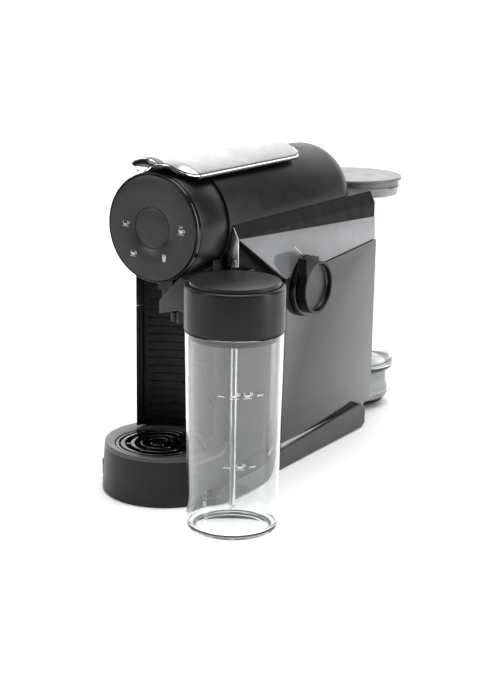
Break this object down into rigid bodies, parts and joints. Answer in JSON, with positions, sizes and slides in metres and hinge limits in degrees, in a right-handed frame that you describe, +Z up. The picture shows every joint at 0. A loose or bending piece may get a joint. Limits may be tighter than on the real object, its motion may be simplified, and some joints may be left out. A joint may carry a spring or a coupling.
{
  "type": "pod coffee machine",
  "caption": "Pod coffee machine: round head with lever, ribbed column over a drip tray, side knob, rear water tank and a clear milk jug with a spout lid.",
  "frame": {"origin": "on the floor, at the middle of the outline's bounding box, jug and tank included", "axes": "-Y is the front with the control disc, +X the side with the milk jug and the knob, +Z up"},
  "size_m": [0.1828, 0.4114, 0.269],
  "materials": {
    "satin_black": "satin moulded ABS",
    "gloss_black": "gloss moulded ABS",
    "deep_black": "matte moulded plastic",
    "panel_grey": "gloss dark grey ABS",
    "skirt_grey": "satin moulded ABS",
    "disc_face": "satin touch panel",
    "chrome_plate": "bright plated",
    "brushed_steel": "brushed",
    "jug_clear": "clear, polished",
    "tank_clear": "clear moulded copolyester",
    "tube_clear": "translucent tube",
    "lid_grey": "satin light grey ABS",
    "dock_grey": "moulded grey ABS",
    "rubber_black": "matte rubber",
    "silicone": "silicone hose",
    "aluminium_cast": "die cast",
    "board_green": "glass-fibre board",
    "chassis_plastic": "moulded polypropylene"
  },
  "bodies": {
    "machine": {"base_frame": "skirt_grey", "rubber_feet": "rubber_black", "base_screws": "brushed_steel", "main_casing": "gloss_black", "right_panel": "panel_grey", "right_wedge": "panel_grey", "left_panel": "panel_grey", "left_wedge": "panel_grey", "rear_cover": "satin_black", "rear_screws": "brushed_steel", "cord_gland": "rubber_black", "head_tube": "satin_black", "front_collar": "satin_black", "disc_bezel": "gloss_black", "control_disc": "disc_face", "control_board": "board_green", "capsule_guide": "deep_black", "brew_frame": "chassis_plastic", "brew_chamber": "chassis_plastic", "coffee_spout": "deep_black", "lever_hinge": "deep_black", "lever_pin": "brushed_steel", "column_cap": "gloss_black", "steel_strip": "brushed_steel", "steam_port": "deep_black", "knob_collar": "satin_black", "milk_valve": "chassis_plastic", "tank_bracket": "skirt_grey", "tank_dock": "dock_grey", "inner_chassis": "chassis_plastic", "pump": "aluminium_cast", "pump_mounts": "rubber_black", "thermoblock": "aluminium_cast", "steam_hose": "silicone", "water_hose": "silicone", "power_board": "board_green"},
    "lever": {"lever_plate": "chrome_plate", "lever_frame": "deep_black"},
    "piston": {"brew_piston": "aluminium_cast"},
    "button": {"start_button": "disc_face"},
    "knob": {"milk_knob": "satin_black", "knob_face": "panel_grey", "knob_shaft": "brushed_steel"},
    "tray": {"drip_tray": "satin_black", "tray_cover": "satin_black"},
    "grille": {"drip_grille": "gloss_black"},
    "bin": {"capsule_bin": "gloss_black"},
    "jug": {"milk_jug": "jug_clear"},
    "jug_lid": {"milk_lid": "satin_black", "lid_top": "satin_black", "jug_seal": "rubber_black", "suction_tube": "tube_clear", "milk_spout": "satin_black", "spout_nozzles": "satin_black", "lid_inlet": "deep_black"},
    "tank": {"water_tank": "tank_clear"},
    "tank_cover": {"tank_lid": "lid_grey", "tank_plug": "rubber_black"},
    "tank_valve_body": {"tank_valve": "dock_grey"}
  },
  "joints": [
    {"name": "lever_lift", "type": "hinge", "parent": "machine", "child": "lever", "pos_m": [-0.035, 0.0152, 0.2579], "axis": [-1, 0, 0], "range_deg": [0, 60]},
    {"name": "piston_slide", "type": "slide", "parent": "machine", "child": "piston", "axis": [0, 1, 0], "range_m": [0, 0.024]},
    {"name": "button_press", "type": "slide", "parent": "machine", "child": "button", "axis": [0, 1, 0], "range_m": [0, 0.001], "stiffness_N_per_m": 800, "springref_m": -0.001},
    {"name": "knob_turn", "type": "hinge", "parent": "machine", "child": "knob", "pos_m": [0.025, -0.0083, 0.1507], "axis": [-1, 0, 0], "range_deg": [0, 110]},
    {"name": "tray_slide", "type": "slide", "parent": "machine", "child": "tray", "axis": [0, -1, 0], "range_m": [0, 0.12]},
    {"name": "grille_lift", "type": "slide", "parent": "tray", "child": "grille", "axis": [0, 0, 1], "range_m": [0, 0.03]},
    {"name": "bin_slide", "type": "slide", "parent": "machine", "child": "bin", "axis": [0, -1, 0], "range_m": [0, 0.1]},
    {"name": "jug_slide", "type": "slide", "parent": "machine", "child": "jug", "axis": [0.5133, -0.8582, 0], "range_m": [0, 0.12]},
    {"name": "lid_lift", "type": "slide", "parent": "jug", "child": "jug_lid", "axis": [0, 0, 1], "range_m": [0, 0.0064]},
    {"name": "tank_lift", "type": "slide", "parent": "machine", "child": "tank", "axis": [0, 0, 1], "range_m": [0, 0.15]},
    {"name": "tank_lid_lift", "type": "slide", "parent": "tank", "child": "tank_cover", "axis": [0, 0, 1], "range_m": [0, 0.03]},
    {"name": "tank_valve_lift", "type": "slide", "parent": "tank", "child": "tank_valve_body", "axis": [0, 0, 1], "range_m": [0, 0.004], "stiffness_N_per_m": 60, "springref_m": -0.004}
  ],
  "couplings": [
    {"joint": "piston_slide", "follows": "lever_lift", "m_per_rad": 0.021}
  ]
}
